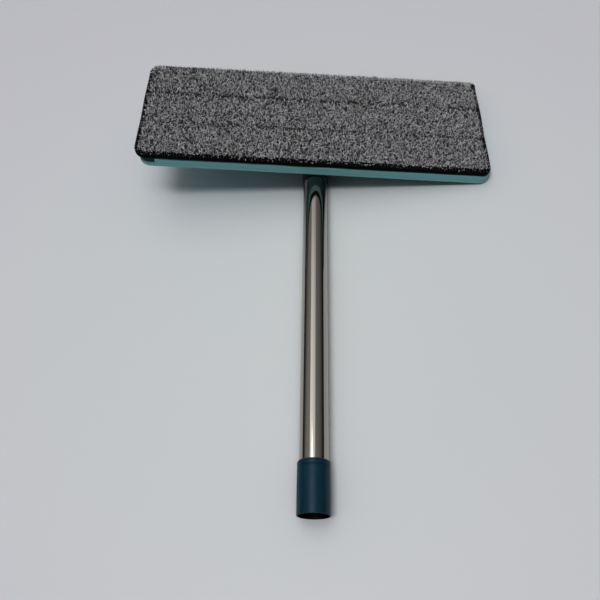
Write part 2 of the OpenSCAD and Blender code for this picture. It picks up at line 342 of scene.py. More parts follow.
# %% Drawn tube and plated fasteners
def drawn_steel():
    material, tree, shader = new_material("stainless_tube", (0.55, 0.52, 0.48), 0.1, 1.0)
    along = object_coords(tree, (1, 0.012, 1))
    fine = noise_in(tree, along, 2600.0, 4.0, 0.6)
    broad = noise_in(tree, along, 260.0, 3.0, 0.5)
    marks = use_group(tree, handling_smears, object_coords(tree), Scale=30.0, Amount=0.6)
    tint = mix_colours(tree, remap(tree, broad, 0.35, 0.65, 0.0, 1.0), (0.53, 0.50, 0.46),
                       (0.58, 0.555, 0.52))
    tree.links.new(tint, shader.inputs["Base Color"])
    clean = remap(tree, fine, 0.3, 0.7, 0.06, 0.11)
    worn = calc(tree, "MULTIPLY_ADD", marks.outputs["Smear"], 0.08, clean)
    tree.links.new(worn, shader.inputs["Roughness"])
    bump(tree, shader, fine, 0.000004)
    return material


def plated_steel():
    material, tree, shader = new_material("plated_steel", (0.60, 0.60, 0.61), 0.32, 1.0)
    coords = object_coords(tree)
    mottle = noise_in(tree, coords, 1500.0, 4.0, 0.6)
    tree.links.new(mix_colours(tree, mottle, (0.52, 0.52, 0.53), (0.66, 0.66, 0.68)),
                   shader.inputs["Base Color"])
    tree.links.new(remap(tree, mottle, 0.3, 0.7, 0.26, 0.40), shader.inputs["Roughness"])
    bump(tree, shader, mottle, 0.00001)
    return material


tube_steel = drawn_steel()
fastener_steel = plated_steel()

# %% [markdown]
# ## Rubber, tape, foam and cloth
# The blade is a smooth black rubber with a faint bloom. Hook tape and the sewn binding share the
# crossed threads, at their own thread counts. On every woven finish the raised threads are painted
# lighter and the hollows between them darker, as painted shade. Foam is a grey sponge whose cells
# come from a Voronoi pattern, with the middle of each cell painted darker, as painted shade in its
# pore. The ground cloth under the pile is a dark knit.

# %% Rubber
def blade_rubber_finish():
    material, tree, shader = new_material("blade_rubber", (0.014, 0.014, 0.015), 0.5)
    coords = object_coords(tree, (0.08, 1, 1))
    bloom = noise_in(tree, coords, 320.0, 4.0, 0.6)
    tree.links.new(mix_colours(tree, bloom, (0.010, 0.010, 0.011), (0.022, 0.022, 0.023)),
                   shader.inputs["Base Color"])
    tree.links.new(remap(tree, bloom, 0.3, 0.7, 0.42, 0.58), shader.inputs["Roughness"])
    bump(tree, shader, bloom, 0.00002)
    return material


# %% Woven tape
def woven_cloth(name, dark, light, threads, depth, Sheen_Weight=0.1, Specular_IOR_Level=0.3):
    material, tree, shader = new_material(name, dark, 0.9, Sheen_Weight=Sheen_Weight,
                                          Specular_IOR_Level=Specular_IOR_Level)
    weave = use_group(tree, crossed_threads, object_coords(tree), Threads=threads)
    # Painted shade: the raised parts of the threads are painted lighter and the hollows between them darker.
    lift = remap(tree, weave.outputs["Height"], -1.5, 1.5, 0.0, 1.0)
    tree.links.new(mix_colours(tree, lift, dark, light), shader.inputs["Base Color"])
    bump(tree, shader, calc(tree, "MULTIPLY_ADD", weave.outputs["Fuzz"], 0.5, lift), depth)
    return material


# %% Foam
def sponge():
    material, tree, shader = new_material("pad_foam", (0.30, 0.30, 0.32), 0.95)
    cells = add(tree, "ShaderNodeTexVoronoi", -700, feature="DISTANCE_TO_EDGE")
    cells.inputs["Scale"].default_value = 1100.0
    tree.links.new(object_coords(tree), cells.inputs["Vector"])
    # Painted shade: the middle of each cell, away from its walls, is painted darker, for the shade inside
    # the pore.
    wall = remap(tree, cells.outputs["Distance"], 0.0, 0.25, 1.0, 0.0)
    tree.links.new(mix_colours(tree, wall, (0.10, 0.10, 0.11), (0.36, 0.36, 0.38)),
                   shader.inputs["Base Color"])
    bump(tree, shader, wall, 0.0003)
    return material


blade_rubber = blade_rubber_finish()
hook_tape = woven_cloth("hook_tape", (0.008, 0.008, 0.009), (0.030, 0.030, 0.034), 900.0, 0.0002)
binding_cloth = woven_cloth("binding_cloth", (0.0020, 0.0020, 0.003), (0.008, 0.008, 0.010), 800.0, 0.00025,
                            Sheen_Weight=0.02, Specular_IOR_Level=0.12)
loop_cloth = woven_cloth("loop_cloth", (0.020, 0.020, 0.024), (0.070, 0.070, 0.078), 600.0, 0.0004)
ground_cloth = woven_cloth("ground_cloth", (0.035, 0.034, 0.038), (0.080, 0.078, 0.085), 500.0, 0.0004)
foam = sponge()
print("finishes", len(bpy.data.materials))

# %% [markdown]
# ## Finishes for the hard parts
# All the parts but the pad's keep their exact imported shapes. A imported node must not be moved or
# reshaped, so the only change is the material in its slots.

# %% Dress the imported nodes
NODE_FINISHES = {
    mint: ["head_plate"],
    sleeve_teal: ["end_sleeve"],
    teal: ["neck", "pivot_bracket", "blade_rail", "rail_end_cap_left", "rail_end_cap_right"],
    black_plastic: ["neck_plug", "thread_insert"],
    nylon: ["friction_washer_left", "friction_washer_right"],
    tube_steel: ["tube"],
    fastener_steel: ["bracket_screws", "hinge_bolt", "hinge_nut", "plug_rivets", "rail_screws"],
    blade_rubber: ["squeegee_blade"],
    hook_tape: ["hook_strip_near", "hook_strip_far"],
}
for finish, nodes in NODE_FINISHES.items():
    for node in nodes:
        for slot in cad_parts[node].material_slots:
            slot.material = finish
print("dressed", sum(len(nodes) for nodes in NODE_FINISHES.values()), "nodes")

# %% [markdown]
# ## Where the pad lies
# The pad is sewn and pressed on by hand, so it isn't a true rectangle: its blade side is stretched
# askew by a few millimetres and bows out by half a millimetre, and its corners differ. Every soft
# piece is drawn in the pad's own flat coordinates and put in place by one function, so they all
# share that shape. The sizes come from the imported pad's boxes.

# %% The pad's coordinates
edge_low, edge_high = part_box("pad_binding")
foam_low, foam_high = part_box("pad_foam")
strip_low, strip_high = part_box("hook_strip_near")
PAD_W = edge_high.x - edge_low.x
PAD_D = edge_high.y - edge_low.y
PAD_CORNERS = (7, 3, 9, 9)      # mm: near right, far right, far left, near left
PAD_BOTTOM = edge_low.z
PAD_MIDDLE = (edge_low + edge_high) / 2 + Vector((0.9, 0.1, 0)) * MM
PAD_TURN = radians(0.1)
PAD_FLARE, PAD_SKEW = 1.9 * MM, 1.5 * MM        # stretch of the blade side, and its growth to the right
PAD_BOW = 0.5 * MM


def on_pad(x, y, z):
    """A point in the pad's flat coordinates, with z in the tool's frame."""
    bow = PAD_BOW * (1 - (2 * x / PAD_W) ** 2)
    y += (y / PAD_D + 0.5) * (PAD_FLARE + PAD_SKEW * 2 * x / PAD_W + bow)
    return Vector((PAD_MIDDLE.x + x * cos(PAD_TURN) - y * sin(PAD_TURN),
                   PAD_MIDDLE.y + x * sin(PAD_TURN) + y * cos(PAD_TURN), z))


def rounded_outline(width, depth, radii, steps):
    """Even steps round a rectangle with round corners, each a point and its outward direction.

    The outline's length comes back with them.
    """
    legs = []
    for side in range(4):
        along, off = (width / 2, depth / 2) if side % 2 == 0 else (depth / 2, width / 2)
        legs.append((radii[side - 1] - along, along - radii[side], off, radii[side]))
    total = sum(stop - start + radius * pi / 2 for start, stop, _, radius in legs)
    stops = []
    for i in range(steps):
        left = total * i / steps
        for side, (start, stop, off, radius) in enumerate(legs):
            turn = Matrix.Rotation(side * pi / 2, 2)
            if left < stop - start:
                stops.append((turn @ Vector((start + left, -off)), turn @ Vector((0, -1))))
                break
            left -= stop - start
            if left < radius * pi / 2:
                out = turn @ Vector((sin(left / radius), -cos(left / radius)))
                stops.append((turn @ Vector((stop, radius - off)) + out * radius, out))
                break
            left -= radius * pi / 2
    return stops, total


def inset_outline(inset, steps):
    radii = [max(radius * MM - inset, 0.5 * MM) for radius in PAD_CORNERS]
    return rounded_outline(PAD_W - 2 * inset, PAD_D - 2 * inset, radii, steps)


print("pad", round(PAD_W * 1000), "by", round(PAD_D * 1000), "mm")

# %% [markdown]
# ## The foam core
# Under the pile is a thin foam sheet with a dark knitted cloth on its upper face. A cloth simulation
# would puff it up like a cushion, but this foam is stiff and held flat by hook tape, so it is lofted
# instead: rings that follow the pad's outline, with sides that swell slightly and a top that is
# crowned by under a millimetre and gently uneven.

# %% Loft the core
CORE_STEPS = 480
CORE_INSET = 2.4 * MM
CORE_HEIGHT = foam_high.z - foam_low.z + 0.9 * MM
CORE_SIDE = [(1.0, 0.0), (0.2, 0.12), (0.0, 0.45), (0.15, 0.75), (0.9, 0.93), (2.2, 1.0)]   # mm in, share up
CROWN, CROWN_WIDTH = 0.5 * MM, 58       # rise of the middle, and mm in from the edge that it takes
CROWN_RINGS = (8, 15, 25, 38, 52)       # mm in from the edge


def ring_of(inset, height, steps):
    return [(point.x, point.y, height) for point, _ in inset_outline(inset, steps)[0]]


def uneven(x, y, size, amount):
    return amount * noise.noise(Vector((x / size, y / size, 0.37)))


def loft(name, rings, materials, top_from=None):
    """A closed solid through rings of equal length; faces above ring top_from take material 1."""
    steps = len(rings[0])
    verts = [on_pad(*point) for ring in rings for point in ring]
    faces = [tuple(reversed(range(steps)))]
    for k in range(len(rings) - 1):
        for i in range(steps):
            a, b = k * steps + i, k * steps + (i + 1) % steps
            faces.append((a, b, b + steps, a + steps))
    last = (len(rings) - 1) * steps
    faces.append(tuple(range(last, last + steps)))
    obj = mesh_object(name, verts, faces, materials)
    if top_from is not None:
        for face in obj.data.polygons[1 + top_from * steps:]:
            face.material_index = 1
    obj.data.polygons.foreach_set("use_smooth", [len(f.vertices) == 4 for f in obj.data.polygons])
    return obj


core_rings = [ring_of(CORE_INSET + step * MM, foam_low.z + share * CORE_HEIGHT, CORE_STEPS)
              for step, share in CORE_SIDE]
for inset in CROWN_RINGS:
    crown = CROWN * (1 - (1 - inset / CROWN_WIDTH) ** 2)
    core_rings.append([(x, y, z + crown + uneven(x, y, 40 * MM, 0.3 * MM))
                       for x, y, z in ring_of(inset * MM, foam_low.z + CORE_HEIGHT, CORE_STEPS)])
pad_core = loft("pad_core", core_rings, (foam, ground_cloth), top_from=4)
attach(pad_core, "pad")
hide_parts("pad_foam")
print("pad core", len(pad_core.data.polygons), "faces")

# %% [markdown]
# ## The loop backing
# The face that grips the hook tape is a thin brushed cloth. It is a second loft, 0.5 mm thick, with
# a fine quilted ripple from the machine that laminated it to the foam. It starts 0.6 mm above the
# tape, which leaves the hooks of the tape their height.

# %% Loft the backing
BACKING_T = 0.5 * MM
BACKING_SIDE = [(6.0, 0.0), (3.4, 0.0), (3.0, 0.3), (3.4, 1.0), (6.0, 1.0)]     # mm in, share up
backing_rings = []
for step, share in BACKING_SIDE:
    backing_rings.append([(x, y, z + uneven(x, y, 6 * MM, 0.06 * MM)) for x, y, z in
                          ring_of(step * MM, foam_low.z - BACKING_T * (1 - share), CORE_STEPS)])
loop_backing = loft("loop_backing", backing_rings, (loop_cloth,))
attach(loop_backing, "pad")
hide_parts("pad_backing")

# %% [markdown]
# ## The sewn binding
# A black tape is folded over the pad's edge and overlocked. Its section is a C that hugs the cloth:
# under the backing, up the side, over the shoulder and down into the pile. A curve with a bevel
# could sweep that section, but a loop over the outline lets the tape pucker at each stitch and
# wander by a few tenths of a millimetre, as sewn tape does. Along the blade side it is folded lower.

# %% Sweep the binding
STITCH_GAP = 2.6 * MM
PUCKER = 0.10 * MM
WANDER, WANDER_LENGTH = 0.45 * MM, 28 * MM
SWELL = 0.6                     # how much a bulge of the tape also lifts it
BLADE_SIDE_DROP = 0.5           # share of its height the tape loses along the blade side
TAPE_SECTION = [(-4.6, 0.25), (-2.0, 0.05), (-0.8, 0.10), (-0.15, 0.8), (0.0, 2.2), (0.0, 3.8),
                (-0.2, 5.2), (-0.8, 6.3), (-1.9, 6.75), (-3.0, 6.55), (-3.6, 5.9), (-3.0, 5.5),
                (-1.9, 5.6), (-1.3, 4.9), (-1.15, 3.4), (-1.15, 1.5), (-2.0, 0.85), (-4.6, 0.8)]
TAPE_HEIGHT = max(rise for _, rise in TAPE_SECTION)
STEPS_A_STITCH = 4


def tape_shift(point, run):
    """How far the tape stands out at a place: a pucker at each stitch and a slow wander."""
    pucker = PUCKER * cos(tau * run / STITCH_GAP)
    return pucker + WANDER * noise.noise(Vector((point.x, point.y, 0)) / WANDER_LENGTH)


tape_length = inset_outline(0, 4)[1]
stitch_count = round(tape_length / STITCH_GAP)
tape_steps = STEPS_A_STITCH * stitch_count
tape_stops = inset_outline(0, tape_steps)[0]
verts = []
for i, (point, out) in enumerate(tape_stops):
    shift = tape_shift(point, i * STITCH_GAP / STEPS_A_STITCH)
    level = (1 + SWELL * shift / MM / TAPE_HEIGHT) * (1 - BLADE_SIDE_DROP * max(out.y, 0))
    for offset, rise in TAPE_SECTION:
        at = point + out * (offset * MM + shift)
        verts.append(on_pad(at.x, at.y, PAD_BOTTOM + rise * MM * level))
size = len(TAPE_SECTION)
faces = []
for i in range(tape_steps):
    for j in range(size):
        a, b = i * size, (i + 1) % tape_steps * size
        k = (j + 1) % size
        faces.append((a + j, b + j, b + k, a + k))
edge_binding = mesh_object("edge_binding", verts, faces, (binding_cloth,))
edge_binding.data.polygons.foreach_set("use_smooth", [True] * len(faces))
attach(edge_binding, "pad")
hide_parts("pad_binding")
print("binding", round(tape_length * 1000), "mm long with", stitch_count, "stitches")

# %% [markdown]
# ## Growing what repeats
# Pile, stitches and hooks are one small shape repeated thousands of times. Placing each copy in a
# Python loop would be slow, so Geometry Nodes place them: a tree takes named sizes, makes the shape,
# scatters it and turns the result into real mesh. A few helpers cover all the trees here: they start
# a tree, lay a grid, draw a tapered strand, give each copy its own tint, end the tree, and run it to
# keep only the plain mesh.

# %% Geometry Nodes helpers
KNIT_SEED, LEAN_SEED, SHADE_SEED, JITTER_SEED, PICK_SEED, SIZE_SEED = 11, 12, 13, 14, 15, 16


def vector(tree, x, y, z):
    node = add(tree, "ShaderNodeCombineXYZ")
    for value, socket in zip((x, y, z), node.inputs):
        feed(tree, value, socket)
    return node.outputs[0]


def chance(tree, kind, low, high, seed):
    """A random number or vector for each point, from a fixed seed."""
    node = add(tree, "FunctionNodeRandomValue", data_type=kind)
    sockets = {s.identifier: s for s in node.inputs}
    ends = {"FLOAT": ("Min_001", "Max_001"), "FLOAT_VECTOR": ("Min", "Max"), "INT": ("Min_002", "Max_002")}
    feed(tree, low, sockets[ends[kind][0]])
    feed(tree, high, sockets[ends[kind][1]])
    node.inputs["Seed"].default_value = seed
    return next(s for s in node.outputs if s.enabled)


def geometry_tree(name, inputs):
    kinds = {float: "NodeSocketFloat", int: "NodeSocketInt", bpy.types.Material: "NodeSocketMaterial"}
    tree = bpy.data.node_groups.new(name, "GeometryNodeTree")
    tree.interface.new_socket("Geometry", in_out="INPUT", socket_type="NodeSocketGeometry")
    for socket, value in inputs.items():
        made = tree.interface.new_socket(socket, in_out="INPUT", socket_type=kinds[type(value)])
        made.default_value = value
    tree.interface.new_socket("Geometry", in_out="OUTPUT", socket_type="NodeSocketGeometry")
    return tree, add(tree, "NodeGroupInput", -1400).outputs, add(tree, "NodeGroupOutput", 1400).inputs


def strand(tree, points, thickness, sides, steps, taper):
    """A thread along a Bezier segment; "along" runs from 0 at its root to 1 at its tip."""
    line = add(tree, "GeometryNodeCurvePrimitiveBezierSegment")
    line.inputs["Resolution"].default_value = steps
    for key, point in zip(("Start", "Start Handle", "End Handle", "End"), points):
        feed(tree, vector(tree, *point), line.inputs[key])
    even = add(tree, "GeometryNodeResampleCurve", mode="EVALUATED")
    tree.links.new(line.outputs["Curve"], even.inputs["Curve"])
    run = add(tree, "GeometryNodeSplineParameter").outputs["Factor"]
    bulge = calc(tree, "MULTIPLY", calc(tree, "MULTIPLY", run, calc(tree, "SUBTRACT", 1.0, run)), 4 * taper)
    radius = add(tree, "GeometryNodeSetCurveRadius")
    tree.links.new(even.outputs["Curve"], radius.inputs["Curve"])
    feed(tree, calc(tree, "ADD", bulge, 1 - taper), radius.inputs["Radius"])
    store = add(tree, "GeometryNodeStoreNamedAttribute", data_type="FLOAT", domain="POINT")
    store.inputs["Name"].default_value = "along"
    tree.links.new(radius.outputs["Curve"], store.inputs["Geometry"])
    feed(tree, run, store.inputs["Value"])
    section = add(tree, "GeometryNodeCurvePrimitiveCircle")
    section.inputs["Resolution"].default_value = sides
    feed(tree, calc(tree, "MULTIPLY", thickness, 0.5), section.inputs["Radius"])
    tube = add(tree, "GeometryNodeCurveToMesh")
    tree.links.new(store.outputs["Geometry"], tube.inputs["Curve"])
    tree.links.new(section.outputs["Curve"], tube.inputs["Profile Curve"])
    tube.inputs["Fill Caps"].default_value = True
    feed(tree, add(tree, "GeometryNodeInputRadius").outputs[0], tube.inputs["Scale"])
    return tube.outputs["Mesh"]


def even_grid(tree, given, sides):
    """A flat grid along X and Y, from the names of each side's length and of its gap."""
    grid = add(tree, "GeometryNodeMeshGrid", -1100)
    for axis, (side, gap) in zip("XY", sides):
        tree.links.new(given[side], grid.inputs["Size " + axis])
        feed(tree, calc(tree, "DIVIDE", given[side], given[gap]), grid.inputs["Vertices " + axis])
    return grid.outputs["Mesh"]


def own_tint(tree, instances):
    """A random number kept with each copy, which the yarn reads as its shade."""
    tint = add(tree, "GeometryNodeStoreNamedAttribute", 500, data_type="FLOAT", domain="INSTANCE")
    tint.inputs["Name"].default_value = "tint"
    tree.links.new(instances, tint.inputs["Geometry"])
    feed(tree, chance(tree, "FLOAT", 0.0, 1.0, SHADE_SEED), tint.inputs["Value"])
    return tint.outputs["Geometry"]


def finish_tree(tree, instances, material, out):
    real = add(tree, "GeometryNodeRealizeInstances", 900)
    shade = add(tree, "GeometryNodeSetShadeSmooth", 1050)
    shade.inputs["Shade Smooth"].default_value = True
    paint = add(tree, "GeometryNodeSetMaterial", 1200)
    tree.links.new(instances, real.inputs["Geometry"])
    tree.links.new(real.outputs["Geometry"], shade.inputs["Geometry"])
    tree.links.new(shade.outputs["Geometry"], paint.inputs["Geometry"])
    tree.links.new(material, paint.inputs["Material"])
    tree.links.new(paint.outputs["Geometry"], out["Geometry"])


def grow(name, tree, place, base=None, **values):
    """Run a tree on a base mesh and keep one plain mesh, each vertex put in its place."""
    obj = mesh_object(name, *(base or ([(0, 0, 0)], [])))
    modifier = obj.modifiers.new(name, "NODES")
    modifier.node_group = tree
    for item in tree.interface.items_tree:
        key = item.name.replace(" ", "_").lower()
        if item.in_out == "INPUT" and key in values:
            modifier[item.identifier] = values[key]
    graph = bpy.context.evaluated_depsgraph_get()
    grown = bpy.data.meshes.new_from_object(obj.evaluated_get(graph))
    obj.modifiers.clear()
    obj.data = grown
    for vert in grown.vertices:
        vert.co = place(*vert.co)
    return obj


print("geometry helpers ready")

# %% [markdown]
# ## The microfibre pile
# The pad's face is a knitted microfibre whose twisted tufts lie over in all directions, pale ones
# among dark ones. Hair particles would look softer, but they can't be exported, and each tuft here
# is about half a millimetre thick. So a grid of knit points carries bent, tapered strands of three
# shapes. Each is turned, leaned and scaled at random. Two courses of the knit were skipped, and there
# the tufts stand lower in broken dark lines. They are also trimmed along the blade side. Five pieces
# share one grid, each with its own part of the tufts: a silver, a grey, a dark and two pale ones,
# because the pale tufts would make too heavy a mesh in one piece.

# %% The pile's tree
PILE_INPUTS = {"Width": PAD_W, "Depth": PAD_D, "Wale": 1.25 * MM, "Course": 1.1 * MM,
               "Length": 4.4 * MM, "Thickness": 0.62 * MM, "Lean": 0.5, "From Share": 0.0, "To Share": 0.5,
               "Seam": PAD_D / 6, "Root": 32 * MM}
TUFT_SHAPES = [(0.25, 0.95), (0.55, 0.80), (0.85, 0.55)]    # reach and rise of the tip, as shares of Length
SEAM_HALF_WIDTH = 1.6 * MM
SEAM_DROP = (0.45, 0.8)             # share of its size a tuft loses on the near and the far seam
DASH_SCALE, DASH_SHARE = 95.0, 0.42
TRIM_FROM, TRIM_TO, TRIMMED = 0.47, 0.5, 0.6    # shares of Depth, and of a tuft's size at the very edge


def knit_points(tree, given):
    """A jittered grid of knit points, kept where a ray meets the given flat face."""
    grid = even_grid(tree, given, (("Width", "Wale"), ("Depth", "Course")))
    half = [calc(tree, "MULTIPLY", given[gap], 0.5) for gap in ("Wale", "Course")]
    minus = [calc(tree, "MULTIPLY", value, -1.0) for value in half]
    jitter = chance(tree, "FLOAT_VECTOR", vector(tree, *minus, 0.0), vector(tree, *half, 0.0), JITTER_SEED)
    move = add(tree, "GeometryNodeSetPosition", -900)
    tree.links.new(grid, move.inputs["Geometry"])
    tree.links.new(jitter, move.inputs["Offset"])
    above = add(tree, "ShaderNodeVectorMath", operation="ADD")
    tree.links.new(add(tree, "GeometryNodeInputPosition").outputs[0], above.inputs[0])
    above.inputs[1].default_value = (0, 0, 10 * MM)
    ray = add(tree, "GeometryNodeRaycast", -700)
    tree.links.new(given["Geometry"], ray.inputs["Target Geometry"])
    tree.links.new(above.outputs[0], ray.inputs["Source Position"])
    ray.inputs["Ray Direction"].default_value = (0, 0, -1)
    ray.inputs["Ray Length"].default_value = 100 * MM
    missed = add(tree, "FunctionNodeBooleanMath", -600, operation="NOT")
    tree.links.new(ray.outputs["Is Hit"], missed.inputs[0])
    keep = add(tree, "GeometryNodeDeleteGeometry", -500, domain="POINT")
    tree.links.new(move.outputs["Geometry"], keep.inputs["Geometry"])
    tree.links.new(missed.outputs[0], keep.inputs["Selection"])
    return keep.outputs["Geometry"]


def seam_height(tree, given):
    """1 on most of the pad, less along the blade side and in broken lines at two skipped courses."""
    place = add(tree, "GeometryNodeInputPosition").outputs[0]
    axes = add(tree, "ShaderNodeSeparateXYZ")
    tree.links.new(place, axes.inputs[0])
    gap = calc(tree, "ABSOLUTE", calc(tree, "SUBTRACT", calc(tree, "ABSOLUTE", axes.outputs["Y"]),
                                      given["Seam"]))
    on_line = calc(tree, "LESS_THAN", gap, SEAM_HALF_WIDTH)
    broken = add(tree, "ShaderNodeTexNoise", noise_dimensions="1D")
    feed(tree, calc(tree, "MULTIPLY_ADD", axes.outputs["Y"], 3.0, axes.outputs["X"]), broken.inputs["W"])
    broken.inputs["Scale"].default_value = DASH_SCALE
    depth = remap(tree, axes.outputs["Y"], -10 * MM, 10 * MM, *SEAM_DROP)
    dash = calc(tree, "GREATER_THAN", broken.outputs["Fac"], DASH_SHARE)
    drop = calc(tree, "MULTIPLY", calc(tree, "MULTIPLY", on_line, dash), depth)
    start, stop = (calc(tree, "MULTIPLY", given["Depth"], share) for share in (TRIM_FROM, TRIM_TO))
    trim = remap(tree, axes.outputs["Y"], start, stop, 1.0, TRIMMED)
    return calc(tree, "MULTIPLY", calc(tree, "SUBTRACT", 1.0, drop), trim)


def pile_tree(material):
    tree, given, out = geometry_tree("knitted_pile", {**PILE_INPUTS, "Material": material})
    shapes = add(tree, "GeometryNodeJoinGeometry")
    for reach, rise in TUFT_SHAPES:
        length = [calc(tree, "MULTIPLY", given["Length"], share) for share in
                  (0.6 * rise, 0.45 * reach, 1.05 * rise, reach, rise)]
        points = [(0.0, 0.0, 0.0), (0.0, 0.0, length[0]), (length[1], 0.0, length[2]),
                  (length[3], 0.0, length[4])]
        single = add(tree, "GeometryNodeGeometryToInstance")
        tree.links.new(strand(tree, points, given["Thickness"], 4, 3, 0.5), single.inputs[0])
        tree.links.new(single.outputs[0], shapes.inputs[0])
    draw = chance(tree, "FLOAT", 0.0, 1.0, KNIT_SEED)
    chosen = calc(tree, "MULTIPLY", calc(tree, "GREATER_THAN", draw, given["From Share"]),
                  calc(tree, "LESS_THAN", draw, given["To Share"]))
    lean = calc(tree, "MULTIPLY", given["Lean"], -1.0)
    plant = add(tree, "GeometryNodeInstanceOnPoints", 300)
    tree.links.new(knit_points(tree, given), plant.inputs["Points"])
    tree.links.new(chosen, plant.inputs["Selection"])
    tree.links.new(shapes.outputs[0], plant.inputs["Instance"])
    plant.inputs["Pick Instance"].default_value = True
    tree.links.new(chance(tree, "INT", 0, len(TUFT_SHAPES) - 1, PICK_SEED), plant.inputs["Instance Index"])
    turn = chance(tree, "FLOAT_VECTOR", vector(tree, lean, lean, 0.0),
                  vector(tree, given["Lean"], given["Lean"], tau), LEAN_SEED)
    tree.links.new(turn, plant.inputs["Rotation"])
    grown = calc(tree, "MULTIPLY", chance(tree, "FLOAT", 0.8, 1.12, SIZE_SEED), seam_height(tree, given))
    tree.links.new(grown, plant.inputs["Scale"])
    lift = add(tree, "GeometryNodeTransform", 700)
    tree.links.new(own_tint(tree, plant.outputs["Instances"]), lift.inputs["Geometry"])
    feed(tree, vector(tree, 0.0, 0.0, given["Root"]), lift.inputs["Translation"])
    finish_tree(tree, lift.outputs["Geometry"], given["Material"], out)
    return tree


# %% [markdown]
# ## Yarn finishes
# A twisted microfibre yarn has a soft sheen and is darker at its root, where light can't reach, and
# each tuft differs a little in shade. The strand carries both facts as attributes: how far along it
# a point is, and a random tint. A fine noise, drawn out along the height, stands for the fibres.

# %% Yarn and thread
def yarn(name, dark, light, root_shade):
    material, tree, shader = new_material(name, light, 0.5, Sheen_Weight=0.7, Sheen_Roughness=0.5,
                                          Specular_IOR_Level=0.8)
    along = add(tree, "ShaderNodeAttribute", -900, attribute_name="along")
    tint = add(tree, "ShaderNodeAttribute", -900, -200, attribute_name="tint")
    fibre = add(tree, "ShaderNodeTexNoise", -700)
    fibre.inputs["Scale"].default_value = 3200.0
    tree.links.new(object_coords(tree, (1, 1, 0.35)), fibre.inputs["Vector"])
    shade = mix_colours(tree, tint.outputs["Fac"], dark, light)
    deep = remap(tree, along.outputs["Fac"], 0.1, 0.6, 1.0, 0.0)
    root = tuple(root_shade * channel for channel in dark)
    colour = mix_colours(tree, deep, shade, root)
    mottle = remap(tree, fibre.outputs["Fac"], 0.35, 0.65, 0.0, 0.25)
    tree.links.new(mix_colours(tree, mottle, colour, dark), shader.inputs["Base Color"])
    bump(tree, shader, fibre.outputs["Fac"], 0.0002)
    return material


pale_yarn = yarn("pale_yarn", (0.80, 0.79, 0.82), (0.93, 0.925, 0.94), 0.12)
silver_yarn = yarn("silver_yarn", (0.62, 0.61, 0.64), (0.84, 0.83, 0.85), 0.12)
grey_yarn = yarn("grey_yarn", (0.26, 0.255, 0.27), (0.50, 0.49, 0.51), 0.2)
dark_yarn = yarn("dark_yarn", (0.04, 0.038, 0.045), (0.12, 0.115, 0.13), 0.5)
black_thread = yarn("black_thread", (0.004, 0.004, 0.006), (0.014, 0.014, 0.018), 1.0)

# %% Grow the pile
PILE_EDGES = (2.4, 1.3, -0.3)    # mm left bare at the ends, the near side and the blade side
FLOOR_STEPS = 240
end, near, blade_side = (value * MM for value in PILE_EDGES)
floor_stops = rounded_outline(PAD_W - 2 * end, PAD_D - near - blade_side,
                              [max(radius * MM - end, MM) for radius in PAD_CORNERS], FLOOR_STEPS)[0]
pile_floor = [(point.x, point.y + (near - blade_side) / 2, 0) for point, _ in floor_stops]
YARN_SHARES = (("pile_white", pale_yarn, 0.0, 0.25), ("pile_pale", pale_yarn, 0.25, 0.50),
               ("pile_silver", silver_yarn, 0.50, 0.68), ("pile_grey", grey_yarn, 0.68, 0.81),
               ("pile_dark", dark_yarn, 0.81, 1.0))
pile = pile_tree(pale_yarn)
for name, finish, low, high in YARN_SHARES:
    piece = grow(name, pile, on_pad, base=(pile_floor, [tuple(range(len(pile_floor)))]),
                 from_share=low, to_share=high, material=finish)
    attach(piece, "pad")
    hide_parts("pad_pile")
    print(name, sum(len(face.vertices) - 2 for face in piece.data.polygons), "triangles")

# %% [markdown]
# ## The overlock stitches
# Thread loops hold the tape, one every few millimetres, each slanted over the tape's shoulder. A
# tree walks the outline, drops a bent thread at each step and turns it to face the pad's middle.

# %% Sew the binding
def stitch_tree(material):
    tree, given, out = geometry_tree("overlock", {"Gap": STITCH_GAP, "Thread": 0.45 * MM, "Reach": 1.9 * MM,
                                                  "Slant": 1.0 * MM, "Material": material})
    path = add(tree, "GeometryNodeMeshToCurve", -900)
    tree.links.new(given["Geometry"], path.inputs["Mesh"])
    walk = add(tree, "GeometryNodeCurveToPoints", -700, mode="LENGTH")
    tree.links.new(path.outputs["Curve"], walk.inputs["Curve"])
    tree.links.new(given["Gap"], walk.inputs["Length"])
    face = add(tree, "FunctionNodeAlignRotationToVector", -500, axis="X", pivot_axis="Z")
    tree.links.new(walk.outputs["Tangent"], face.inputs["Vector"])
    reach, slant = given["Reach"], given["Slant"]
    back = calc(tree, "MULTIPLY", reach, -1.08)
    points = [(0.0, reach, calc(tree, "MULTIPLY", reach, -0.16)),
              (0.0, reach, calc(tree, "MULTIPLY", reach, 0.85)),
              (slant, back, calc(tree, "MULTIPLY", reach, 0.7)),
              (slant, back, calc(tree, "MULTIPLY", reach, -0.75))]
    sew = add(tree, "GeometryNodeInstanceOnPoints", 300)
    tree.links.new(walk.outputs["Points"], sew.inputs["Points"])
    tree.links.new(strand(tree, points, given["Thread"], 5, 5, 0.15), sew.inputs["Instance"])
    tree.links.new(face.outputs["Rotation"], sew.inputs["Rotation"])
    finish_tree(tree, own_tint(tree, sew.outputs["Instances"]), given["Material"], out)
    return tree


SEAM_INSET, SEAM_RISE = 2.0 * MM, 6.1 * MM
seam_verts = []
for i, (point, out) in enumerate(tape_stops[::STEPS_A_STITCH]):
    at = point + out * (tape_shift(point, i * STITCH_GAP) - SEAM_INSET)
    seam_verts.append((at.x, at.y, PAD_BOTTOM + SEAM_RISE))
seam_edges = [(i, (i + 1) % len(seam_verts)) for i in range(len(seam_verts))]
print("stitch path", len(seam_verts), "points")
binding_stitches = grow("binding_stitches", stitch_tree(black_thread), on_pad,
                        base=(seam_verts, [], (), seam_edges))
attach(binding_stitches, "pad")
print("stitches", len(binding_stitches.data.polygons), "faces")

